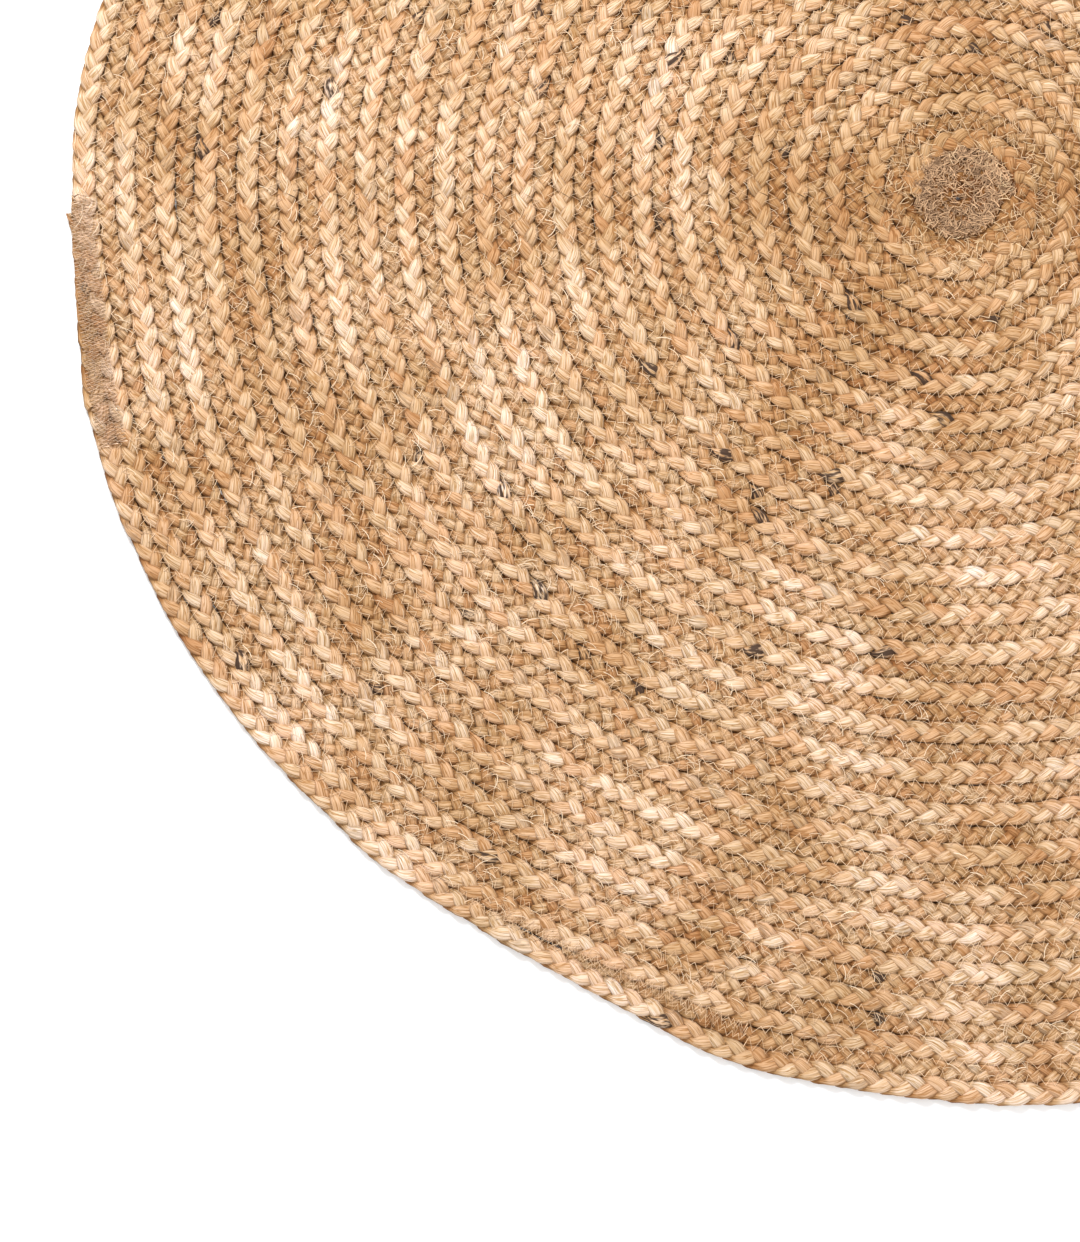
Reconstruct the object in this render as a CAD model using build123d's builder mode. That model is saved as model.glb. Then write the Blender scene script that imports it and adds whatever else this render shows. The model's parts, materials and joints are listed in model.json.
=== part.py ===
"""Round braided jute rug, modelled as its sewn parts, in millimetres.

Two plaits, one thick and one fine, are wound side by side from a small sewn centre, so their rows
alternate all the way out. They wind outwards clockwise, seen from above. The plaits are one length
each; every full turn of a plait is written as its own part, and the turns meet end to end.

The origin is the middle of the winding, on the underside. The pile side faces +Z.

The winding is built from half turns about two centres, half a row pitch to each side of the origin
on the cut line. Rows of the first half are arcs about first_centre, rows of the second half are
arcs about second_centre, and a plait that crosses the cut line stays smooth.
"""

import os
from math import cos, degrees, pi, radians, sin, sqrt

from build123d import *

# ---------------------------------------------------------------- driving dimensions
thick_width = 17.2  # thick plait, across the row
thick_height = 10.0
thick_shoulder = 4.5  # rounding of its upper edges
fine_width = 15.0  # fine plait, across the row
fine_height = 8.6
fine_shoulder = 3.8
sole_rounding = 1.8  # rounding of the lower edges of both plaits
seam_gap = 0.38  # clearance between neighbouring rows

core_radius = 40.0  # flat sewn centre that the first rows wind around
core_height = 7.6
full_turns = 22  # turns of the thick plait; the fine one has one fewer, and a part turn

cut_line_angle = 22.0  # direction of the line that the turns start and end on
fine_taper_start = -105.0  # where the fine plait's tail begins, from the cut line
fine_taper_span = 21.0  # arc over which the thick plait closes in over that tail
fine_tail_share = 0.4  # part of that arc's second half that the tail fills before its blunt tip
thick_tail_span = 14.0  # arc of the thick plait's flattened tail, up to the cut line
thick_tail_tip = 5.0  # width of the thick plait's tail at its end
tail_height = 6.4  # both tails are sewn flat

thread_width = 1.0  # needle thread, lying in the groove on top of each seam
bobbin_width = 0.8  # bobbin thread, lying in the groove under each seam
thread_clearance = 0.1  # air between a thread and the plaits beside it
bobbin_lift = 0.12  # height of the bobbin thread above the floor
stitch_layer = 1.0  # thickness of the dense stitching on the centre and the tails
stitch_margin = 0.8  # how far that stitching stays inside the edge it is sewn on

# ---------------------------------------------------------------- sizes that follow
row_pitch = (thick_width + fine_width) / 2 + seam_gap
first_radius = core_radius + seam_gap + thick_width / 2  # centre of the innermost row
turn_in = fine_width + seam_gap  # how far the last row moves in when the fine plait ends
fine_taper_end = fine_taper_start - fine_taper_span
thick_tail_start = -180.0 + thick_tail_span


def on_cut_line(offset):
    """A point on the cut line, offset millimetres from the origin."""
    angle = radians(cut_line_angle)
    return Vector(offset * cos(angle), offset * sin(angle), 0)


def direction(angle):
    """Unit vector at an angle in degrees from the cut line."""
    turned = radians(cut_line_angle + angle)
    return Vector(cos(turned), sin(turned), 0)


first_centre = on_cut_line(row_pitch / 2)
second_centre = on_cut_line(-row_pitch / 2)
last_thick_ring = 2 * full_turns - 1
last_fine_ring = last_thick_ring - 1


def ring_radius(ring):
    """Centre radius of a ring, counted outwards from 0 in either half."""
    return first_radius + ring * row_pitch


outer_radius = ring_radius(last_thick_ring)  # last thick row, before it moves in
closed_radius = outer_radius - turn_in  # the same row once the fine plait has ended

# The last row moves in along two tangent arcs, a tight one and a wide one. Their centres lie the
# same distance from second_centre, which this gives for the arc over which the row moves.
bend_drop = 1 - cos(radians(fine_taper_span))
bend_offset = turn_in * (1 + sqrt(1 - bend_drop / 2)) / bend_drop
bend_middle = (fine_taper_start + fine_taper_end) / 2
tight_radius = outer_radius - bend_offset
wide_radius = closed_radius + bend_offset
tight_centre = second_centre + direction(fine_taper_start) * bend_offset
wide_centre = second_centre - direction(fine_taper_end) * bend_offset


# ---------------------------------------------------------------- shared shapes
def upright_plane(centre, angle):
    """Vertical plane through a centre, its x outwards at this angle and its y up."""
    outwards = direction(angle)
    return Plane(origin=centre, x_dir=outwards, z_dir=outwards.cross(Vector(0, 0, 1)))


def plait_section(centre, radius, angle, width, height, shoulder):
    """Cross-section of a plait: flat below, rounded above, standing on the floor."""
    with BuildSketch(upright_plane(centre, angle)) as section:
        with Locations((radius, height / 2)):
            Rectangle(width, height)
        fillet(section.vertices().sort_by(Axis.Y)[:2], sole_rounding)
        fillet(section.vertices().sort_by(Axis.Y)[-2:], shoulder)
    return section.sketch


def thread_section(centre, radius, angle, width, bottom):
    """Cross-section of a run of stitches: a small square above this height."""
    with BuildSketch(upright_plane(centre, angle)) as section:
        with Locations((radius, bottom + width / 2)):
            Rectangle(width, width)
    return section.sketch


def turn_about(section, centre, arc):
    """Carry a section round a centre, clockwise for a negative arc, into the current part."""
    revolve(section, axis=Axis(centre, (0, 0, 1)), revolution_arc=arc)


def add_thick(centre, radius, start, end):
    """An arc of the thick plait between two angles."""
    section = plait_section(centre, radius, start, thick_width, thick_height, thick_shoulder)
    turn_about(section, centre, end - start)


def add_fine(centre, radius, start, end):
    """An arc of the fine plait between two angles."""
    section = plait_section(centre, radius, start, fine_width, fine_height, fine_shoulder)
    turn_about(section, centre, end - start)


def write_part(built, name):
    """Label a finished part and write it under its name."""
    built.part.label = name
    export_step(built.part, f"parts/{name}.step")


os.makedirs("parts", exist_ok=True)

# ---------------------------------------------------------------- turns of the thick plait
# Each turn runs over the first half, from 180 to 0 degrees, and then the second, from 0 to -180.
for turn in range(full_turns - 1):
    with BuildPart() as thick_turn:
        add_thick(first_centre, ring_radius(2 * turn), 180, 0)
        add_thick(second_centre, ring_radius(2 * turn + 1), 0, -180)
    write_part(thick_turn, f"thick_braid_turn_{turn + 1:02d}")

# The last turn closes in where the fine plait ends, and stops where its own tail begins.
with BuildPart() as thick_last_turn:
    add_thick(first_centre, ring_radius(last_thick_ring - 1), 180, 0)
    add_thick(second_centre, outer_radius, 0, fine_taper_start)
    add_thick(tight_centre, tight_radius, fine_taper_start, bend_middle)
    add_thick(wide_centre, wide_radius, bend_middle, fine_taper_end)
    add_thick(second_centre, closed_radius, fine_taper_end, thick_tail_start)
write_part(thick_last_turn, f"thick_braid_turn_{full_turns:02d}")

# ---------------------------------------------------------------- turns of the fine plait
# It starts half a turn later, inside the thick plait, so its turns run over the second half first.
for turn in range(full_turns - 1):
    with BuildPart() as fine_turn:
        add_fine(second_centre, ring_radius(2 * turn), 0, -180)
        add_fine(first_centre, ring_radius(2 * turn + 1), 180, 0)
    write_part(fine_turn, f"fine_braid_turn_{turn + 1:02d}")

with BuildPart() as fine_last_turn:
    add_fine(second_centre, ring_radius(last_fine_ring), 0, fine_taper_start)
write_part(fine_last_turn, f"fine_braid_turn_{full_turns:02d}")

# ---------------------------------------------------------------- flat sewn centre
first_core_radius = first_radius - thick_width / 2 - seam_gap
second_core_radius = first_radius - fine_width / 2 - seam_gap


def half_disc(centre, radius, start):
    """Half a disc about a centre on the cut line, clockwise from this angle, as a closed outline."""
    first = centre + direction(start) * radius
    middle = centre + direction(start - 90) * radius
    last = centre + direction(start - 180) * radius
    with BuildSketch() as half:
        with BuildLine():
            ThreePointArc(first, middle, last)
            Line(last, first)
        make_face()
    return half.sketch


with BuildPart() as center_coil:
    extrude(half_disc(first_centre, first_core_radius, 180), amount=core_height)
    extrude(half_disc(second_centre, second_core_radius, 0), amount=core_height)
write_part(center_coil, "center_coil")

stitched_radius = first_core_radius - row_pitch / 2 - stitch_margin
with BuildPart() as center_stitching:
    with BuildSketch(Plane.XY.offset(core_height)):
        Circle(stitched_radius)
    extrude(amount=stitch_layer)
write_part(center_stitching, "center_stitching")


# ---------------------------------------------------------------- tail of the fine plait
# It fills the wedge that the last thick row leaves as it closes in on the row before.
def arc_about(centre, radius, start, end):
    """An arc between two angles, added to the current outline."""
    middle = (start + end) / 2
    ThreePointArc(*(centre + direction(angle) * radius for angle in (start, middle, end)))


def toward(point, radius):
    """The point at this radius about second_centre, in line with another point."""
    return second_centre + (point - second_centre).normalized() * radius


def wedge_outline(start, tip, margin):
    """The fine tail's plan between two angles on the closing row's arcs, held off by a margin."""
    tight_edge = tight_radius - thick_width / 2 - margin
    wide_edge = wide_radius - thick_width / 2 - margin
    inner_edge = ring_radius(last_thick_ring - 2) + thick_width / 2 + margin
    first = tight_centre + direction(start) * tight_edge
    last = wide_centre + direction(tip) * wide_edge
    front = toward(first, inner_edge)
    back = toward(last, inner_edge)
    with BuildSketch() as wedge:
        with BuildLine():
            arc_about(tight_centre, tight_edge, start, bend_middle)
            arc_about(wide_centre, wide_edge, bend_middle, tip)
            Line(last, back)
            ThreePointArc(back, toward((back + front) / 2, inner_edge), front)
            Line(front, first)
        make_face()
    return wedge.sketch


fine_tail_tip = bend_middle - (bend_middle - fine_taper_end) * fine_tail_share
with BuildPart() as fine_braid_tail:
    extrude(wedge_outline(fine_taper_start, fine_tail_tip, seam_gap), amount=tail_height)
write_part(fine_braid_tail, "fine_braid_tail")

tight_step = degrees(stitch_margin / tight_radius)
wide_step = degrees(stitch_margin / wide_radius)
with BuildPart() as fine_tail_stitching:
    stitched_wedge = wedge_outline(
        fine_taper_start - tight_step, fine_tail_tip + wide_step, seam_gap + stitch_margin
    )
    extrude(stitched_wedge.moved(Location((0, 0, tail_height))), amount=stitch_layer)
write_part(fine_tail_stitching, "fine_tail_stitching")


# ---------------------------------------------------------------- tail of the thick plait
def thick_tail_outline(start, end, margin):
    """The thick tail's plan: full width where the row ends, and narrow at its tip."""
    inner = closed_radius - thick_width / 2 + margin
    outer = closed_radius + thick_width / 2 - margin
    tip = inner + thick_tail_tip - 2 * margin
    middle = (start + end) / 2
    outer_start = second_centre + direction(start) * outer
    outer_middle = second_centre + direction(middle) * (outer - (outer - tip) / 4)
    outer_end = second_centre + direction(end) * tip
    with BuildSketch() as outline:
        with BuildLine():
            ThreePointArc(outer_start, outer_middle, outer_end)
            Line(outer_end, toward(outer_end, inner))
            arc_about(second_centre, inner, end, start)
            Line(toward(outer_start, inner), outer_start)
        make_face()
    return outline.sketch


with BuildPart() as thick_braid_tail:
    extrude(thick_tail_outline(thick_tail_start, -180, 0), amount=tail_height)
write_part(thick_braid_tail, "thick_braid_tail")

edge_step = degrees(stitch_margin / closed_radius)
with BuildPart() as thick_tail_stitching:
    stitched_tail = thick_tail_outline(thick_tail_start - edge_step, edge_step - 180, stitch_margin)
    extrude(stitched_tail.moved(Location((0, 0, tail_height))), amount=stitch_layer)
write_part(thick_tail_stitching, "thick_tail_stitching")


# ---------------------------------------------------------------- seam threads
def groove_height(height, rounding, half_width):
    """Height at which a rounded upper edge leaves this half width free beside the seam."""
    free = half_width + thread_clearance - seam_gap / 2
    return height - rounding + sqrt(rounding**2 - (rounding - free) ** 2)


needle_bottom = max(
    groove_height(thick_height, thick_shoulder, thread_width / 2),
    groove_height(fine_height, fine_shoulder, thread_width / 2),
)


def add_thread(centre, radius, start, end, width, bottom):
    """An arc of stitches between two angles."""
    turn_about(thread_section(centre, radius, start, width, bottom), centre, end - start)


def add_thick_edge_seam(width, bottom):
    """The seam along the outer edge of the thick plait, from the centre out to its own tail."""
    edge = (thick_width + seam_gap) / 2
    for turn in range(full_turns - 1):
        add_thread(first_centre, ring_radius(2 * turn) + edge, 180, 0, width, bottom)
        add_thread(second_centre, ring_radius(2 * turn + 1) + edge, 0, -180, width, bottom)


def add_fine_edge_seam(width, bottom):
    """The seam along the outer edge of the fine plait, from the centre out to its tail."""
    edge = (fine_width + seam_gap) / 2
    for turn in range(full_turns - 1):
        add_thread(second_centre, ring_radius(2 * turn) + edge, 0, -180, width, bottom)
        add_thread(first_centre, ring_radius(2 * turn + 1) + edge, 180, 0, width, bottom)
    add_thread(second_centre, ring_radius(last_fine_ring) + edge, 0, fine_taper_start, width, bottom)


with BuildPart() as needle_thread_thick_edge:
    add_thick_edge_seam(thread_width, needle_bottom)
write_part(needle_thread_thick_edge, "needle_thread_thick_edge")

with BuildPart() as needle_thread_fine_edge:
    add_fine_edge_seam(thread_width, needle_bottom)
write_part(needle_thread_fine_edge, "needle_thread_fine_edge")

with BuildPart() as bobbin_thread_thick_edge:
    add_thick_edge_seam(bobbin_width, bobbin_lift)
write_part(bobbin_thread_thick_edge, "bobbin_thread_thick_edge")

with BuildPart() as bobbin_thread_fine_edge:
    add_fine_edge_seam(bobbin_width, bobbin_lift)
write_part(bobbin_thread_fine_edge, "bobbin_thread_fine_edge")

# ---------------------------------------------------------------- sizes, for the reader
thick_length = sum(pi * ring_radius(ring) for ring in range(2 * full_turns))
fine_length = sum(pi * ring_radius(ring) for ring in range(2 * full_turns - 1))
print(f"row pitch {row_pitch:.2f} mm, outer edge {closed_radius + thick_width / 2:.1f} mm from the middle")
print(f"thick plait about {thick_length / 1000:.1f} m, fine plait about {fine_length / 1000:.1f} m")
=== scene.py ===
# %% [markdown]
# # A round rug of braided jute
# Two plaits of jute, one thick and one fine, wound side by side into a spiral and sewn row to row.
# The script takes the winding from the frame, plaits three strands along every turn with Geometry
# Nodes, and then adds the sewing, the two flattened tails, the sewn centre and the loose fibres.

# %% Load the frame
import json
import math

import bpy
from mathutils import Matrix, Vector

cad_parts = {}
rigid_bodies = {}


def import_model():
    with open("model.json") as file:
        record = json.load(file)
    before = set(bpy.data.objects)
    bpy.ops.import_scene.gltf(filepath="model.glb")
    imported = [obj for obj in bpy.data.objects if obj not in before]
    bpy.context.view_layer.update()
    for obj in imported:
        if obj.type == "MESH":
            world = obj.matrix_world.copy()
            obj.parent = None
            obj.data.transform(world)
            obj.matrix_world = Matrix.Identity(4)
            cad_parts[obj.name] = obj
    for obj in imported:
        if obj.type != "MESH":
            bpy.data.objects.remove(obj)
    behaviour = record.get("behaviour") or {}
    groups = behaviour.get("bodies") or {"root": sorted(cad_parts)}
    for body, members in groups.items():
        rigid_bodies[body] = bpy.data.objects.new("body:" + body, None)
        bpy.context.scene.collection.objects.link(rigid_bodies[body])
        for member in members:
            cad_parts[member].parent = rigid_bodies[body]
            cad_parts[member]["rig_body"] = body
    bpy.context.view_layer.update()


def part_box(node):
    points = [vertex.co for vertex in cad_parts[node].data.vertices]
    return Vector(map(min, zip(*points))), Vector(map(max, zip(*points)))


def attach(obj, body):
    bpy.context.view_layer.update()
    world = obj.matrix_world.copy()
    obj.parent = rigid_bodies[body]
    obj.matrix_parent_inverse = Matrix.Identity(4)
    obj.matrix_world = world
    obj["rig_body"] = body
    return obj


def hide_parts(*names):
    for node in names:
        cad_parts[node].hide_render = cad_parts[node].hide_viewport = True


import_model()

TAU = 2 * math.pi
MM = 0.001

# %% [markdown]
# ## The winding
# A plait is wound clockwise, seen from above, and every full turn carries it out by one thick row
# and one fine row. A place on it is given by its winding angle, counted from where the thick plait
# starts, so a row's radius is a straight line in that angle. The sizes could be typed in, but those
# read from the frame stay right if the frame changes. They come from the boxes of the first two
# turns, whose widths differ by two turns' growth.

# %% The winding's sizes, from the frame
def box_size(node, axis):
    """Length of a node's box along one axis."""
    low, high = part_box(node)
    return high[axis] - low[axis]


turn_count = 22
thick_width = 0.0172
fine_width = 0.0150
cut_angle = math.radians(22)
thick_height = box_size("thick_braid_turn_01", 2)
fine_height = box_size("fine_braid_turn_01", 2)
row_pitch = (box_size("thick_braid_turn_02", 1) - box_size("thick_braid_turn_01", 1)) / 4
turn_growth = 2 * row_pitch
lean = row_pitch * math.sin(cut_angle)
first_radius = (box_size("thick_braid_turn_01", 1) - row_pitch - thick_width - lean) / 2
thick_start_radius = first_radius - row_pitch / 2
fine_start_radius = thick_start_radius - row_pitch
rug_radius = thick_start_radius + turn_growth * turn_count
print("row pitch", round(row_pitch, 5), "first row at", round(first_radius, 4))

# %% Where the plaits end
last_half_turn = TAU * (turn_count - 1) + math.pi
fine_plait_end = math.radians(105)  # past its last half turn
closing_start = last_half_turn + fine_plait_end
closing_span = math.radians(21)
turn_in = fine_width + row_pitch - (thick_width + fine_width) / 2
thick_end = TAU * turn_count
thick_tail_span = math.radians(14)
fine_tail_span = math.radians(13)
print("the thick plait ends at turn", turn_count, "and the fine one at",
    round(closing_start / TAU, 2))


# %% [markdown]
# ## Building node trees
# Each tree below is written as short calls. `add` makes a node and fills its inputs by name, with
# either a plain value or another node's output; `calc` is one step of arithmetic, and `blend` and
# `ranged` go from one value to another. The same trees could be drawn in the node editor, but
# written out they are built alike every time, and their sizes have names.

# %% A small graph writer
class Graph:
    """One node tree and the calls that fill it."""

    def __init__(self, tree):
        self.tree = tree

    def feed(self, socket, value):
        """Give a socket a plain value or the output that drives it."""
        if isinstance(value, bpy.types.NodeSocket):
            self.tree.links.new(value, socket)
        else:
            socket.default_value = value

    def add(self, kind, inputs=None, **settings):
        """A new node with its settings, and its inputs filled by name or identifier."""
        node = self.tree.nodes.new(kind)
        for name, value in settings.items():
            setattr(node, name, value)
        for name, value in (inputs or {}).items():
            match = [s for s in node.inputs if s.identifier == name]
            match += [s for s in node.inputs if s.name == name and s.enabled]
            self.feed(match[0], value)
        return node

    def calc(self, operation, *values):
        """One math node, and its result."""
        node = self.tree.nodes.new("ShaderNodeMath")
        node.operation = operation
        for socket, value in zip(node.inputs, values):
            self.feed(socket, value)
        return node.outputs[0]

    def vector(self, x, y, z):
        """Three numbers as one vector."""
        return self.add("ShaderNodeCombineXYZ", {"X": x, "Y": y, "Z": z}).outputs[0]

    def blend(self, start, end, share):
        """start where share is 0, end where it is 1."""
        return self.calc("MULTIPLY_ADD", self.calc("SUBTRACT", end, start), share, start)

    def ranged(self, value, low, high, start=0.0, end=1.0, **settings):
        """start where the value is low or less, end where it is high or more."""
        ends = {"From Min": low, "From Max": high, "To Min": start, "To Max": end}
        return self.add("ShaderNodeMapRange", {"Value": value, **ends}, **settings).outputs[0]


def new_tree(name, kind, inputs, outputs):
    """A node group with this interface, and its group input and output nodes."""
    tree = bpy.data.node_groups.new(name, kind)
    for label, socket_kind, value in inputs:
        socket = tree.interface.new_socket(label, in_out="INPUT", socket_type=socket_kind)
        if value is not None:
            socket.default_value = value
    for label, socket_kind in outputs:
        tree.interface.new_socket(label, in_out="OUTPUT", socket_type=socket_kind)
    graph = Graph(tree)
    given = tree.nodes.new("NodeGroupInput").outputs
    result = tree.nodes.new("NodeGroupOutput").inputs
    return graph, given, result


def random_value(graph, low, high, key, seed):
    """A fixed random number for each key."""
    node = graph.add(
        "FunctionNodeRandomValue",
        {"Min_001": low, "Max_001": high, "ID": key, "Seed": seed},
        data_type="FLOAT",
    )
    return node.outputs[1]


def wander(graph, along, scale, seed):
    """A smooth random line between -1 and 1 along a length."""
    place = graph.calc("ADD", graph.calc("MULTIPLY", along, scale),
        graph.calc("MULTIPLY", seed, 7.31))
    noise = graph.add("ShaderNodeTexNoise", {"W": place, "Scale": 1.0}, noise_dimensions="1D")
    return graph.calc("MULTIPLY_ADD", noise.outputs[0], 2.0, -1.0)


# %% [markdown]
# ## A place on the spiral
# A point is named by how far along the plait it lies, how far across the row, and how high. The
# length of an Archimedean spiral is a square in the winding angle, so the angle comes back from the
# length with a square root. A drawn curve could carry the strands too, but leaves and stitches have
# to be evenly spaced over some fifty metres, and the formula does that in one step. Near its end
# the thick plait closes in over the fine one's tail.

# %% How far hand winding strays from a true spiral
waver_reach = 0.016
wavers_per_metre = 5.0
# Dents and bulges of the outline: heading in degrees, sharpness, and height in metres.
outline_bulges = [(263, 26, -0.0090), (303, 32, 0.0058), (273, 30, -0.0092), (197, 40, 0.0125)]
print("the edge strays by up to", max(height for _, _, height in outline_bulges), "m")

# %% The shared group: from length along the plait to a place on the rug
FLOAT = "NodeSocketFloat"
INT = "NodeSocketInt"
SPIRAL_INPUTS = [
    ("Start Radius", FLOAT, thick_start_radius),
    ("Growth", FLOAT, turn_growth),
    ("Start Winding", FLOAT, 0.0),
    ("Span", FLOAT, TAU),
    ("Turn In", FLOAT, 0.0),
]


def spiral_group():
    """Length share, offset across and height in; place, length and heading out."""
    inputs = SPIRAL_INPUTS + [("Share", FLOAT, 0.0), ("Across", FLOAT, 0.0), ("Height", FLOAT, 0.0)]
    outputs = [("Place", "NodeSocketVector"), ("Along", FLOAT), ("Heading", FLOAT)]
    graph, given, result = new_tree("spiral_place", "GeometryNodeTree", inputs, outputs)
    rate = graph.calc("DIVIDE", given["Growth"], TAU)

    def length_at(winding):
        """Length of the spiral from its start to a winding angle."""
        straight = graph.calc("MULTIPLY", given["Start Radius"], winding)
        curl = graph.calc("MULTIPLY", graph.calc("MULTIPLY", winding, winding), 0.5)
        return graph.calc("MULTIPLY_ADD", curl, rate, straight)

    start_length = length_at(given["Start Winding"])
    end_length = length_at(graph.calc("ADD", given["Start Winding"], given["Span"]))
    along = graph.blend(start_length, end_length, given["Share"])
    square = graph.calc("MULTIPLY", given["Start Radius"], given["Start Radius"])
    twice = graph.calc("MULTIPLY", rate, 2.0)
    root = graph.calc("SQRT", graph.calc("MULTIPLY_ADD", along, twice, square))
    winding = graph.calc("DIVIDE", graph.calc("SUBTRACT", root, given["Start Radius"]), rate)
    closing = graph.ranged(
        winding, closing_start, closing_start + closing_span, interpolation_type="SMOOTHSTEP"
    )
    radius = graph.calc("MULTIPLY_ADD", winding, rate, given["Start Radius"])
    moved = graph.calc("MULTIPLY", closing, given["Turn In"])
    reach = graph.calc("ADD", graph.calc("SUBTRACT", radius, moved), given["Across"])
    angle = graph.calc("SUBTRACT", cut_angle + math.pi, winding)
    east = graph.calc("COSINE", angle)
    north = graph.calc("SINE", angle)
    spot = graph.vector(
        graph.calc("MULTIPLY", reach, east), graph.calc("MULTIPLY", reach, north), 0.0
    )
    waver = graph.add(
        "ShaderNodeTexNoise", {"Vector": spot, "Scale": wavers_per_metre, "Detail": 1.0}
    ).outputs[0]
    waver = graph.calc("MULTIPLY", graph.calc("SUBTRACT", waver, 0.5), waver_reach)
    outward = graph.calc("DIVIDE", reach, rug_radius)

    def bulge(heading, sharpness, height):
        """One rounded bulge of the outline, or a dent where its height is negative."""
        aside = graph.calc("COSINE", graph.calc("SUBTRACT", angle, math.radians(heading)))
        hump = graph.calc("POWER", graph.calc("MAXIMUM", aside, 0.0), sharpness)
        return graph.calc("MULTIPLY", hump, height)

    uneven = bulge(*outline_bulges[0])
    for shape in outline_bulges[1:]:
        uneven = graph.calc("ADD", uneven, bulge(*shape))
    uneven = graph.calc("MULTIPLY", uneven, graph.calc("POWER", outward, 3.0))
    waver = graph.calc("MULTIPLY_ADD", waver, outward, uneven)
    reach = graph.calc("ADD", reach, waver)
    x = graph.calc("MULTIPLY", reach, east)
    y = graph.calc("MULTIPLY", reach, north)
    graph.feed(result["Place"], graph.vector(x, y, given["Height"]))
    graph.feed(result["Along"], along)
    graph.feed(result["Heading"], angle)
    return graph.tree


spiral_place = spiral_group()


def on_spiral(graph, given, share, across, height):
    """The shared group in another tree, fed with that tree's own spiral inputs."""
    inputs = {label: given[label] for label, _, _ in SPIRAL_INPUTS}
    inputs.update({"Share": share, "Across": across, "Height": height})
    node = graph.tree.nodes.new("GeometryNodeGroup")
    node.node_tree = spiral_place
    for label, value in inputs.items():
        graph.feed(node.inputs[label], value)
    return node.outputs


# %% [markdown]
# ## The plait
# Three strands follow the same path, a third of a period apart. Each swings across the row as a
# sine and rises and dips at twice that rate, so it is on top on its way out to either edge and
# underneath on its way back. That is the flat three-strand plait, and it makes the two lines of
# leaf-shaped strands of every row. A strand is a flattened tube that swells where it is on top. A
# short piece of plait could be modelled once and repeated along the rows, but its leaves would then
# be all alike. Worked out along the whole length, no two have to be.

# %% The plait tree
PLAIT_INPUTS = SPIRAL_INPUTS + [
    ("Points", INT, 400),
    ("Sides", INT, 8),
    ("Leaf Length", FLOAT, 0.0186),
    ("Swing", FLOAT, 0.0048),
    ("Lift", FLOAT, 0.0025),
    ("Middle Height", FLOAT, 0.005),
    ("Strand Width", FLOAT, 0.0084),
    ("Strand Thickness", FLOAT, 0.005),
    ("End Width", FLOAT, 1.0),
    ("End Shift", FLOAT, 0.0),
    ("Unevenness", FLOAT, 1.0),
    ("Seed", INT, 0),
    ("Material", "NodeSocketMaterial", None),
]
GEOMETRY_OUT = [("Geometry", "NodeSocketGeometry")]
crowding = 0.22  # leaves are shorter on the tight first turns
crowding_fade = 1.6  # and lengthen over about this share of a metre
bark_share, rusty_share, rusty_depth = 0.008, 0.05, 0.28
taper_at_folds = 0.42
floor_softness = 0.0012  # strands flatten within this height of the floor


def store(graph, geometry, name, kind, value, domain="POINT"):
    """Keep a value on the geometry under a name, for its material."""
    node = graph.add(
        "GeometryNodeStoreNamedAttribute",
        {"Geometry": geometry, "Name": name, "Value": value},
        data_type=kind,
        domain=domain,
    )
    return node.outputs[0]


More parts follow.
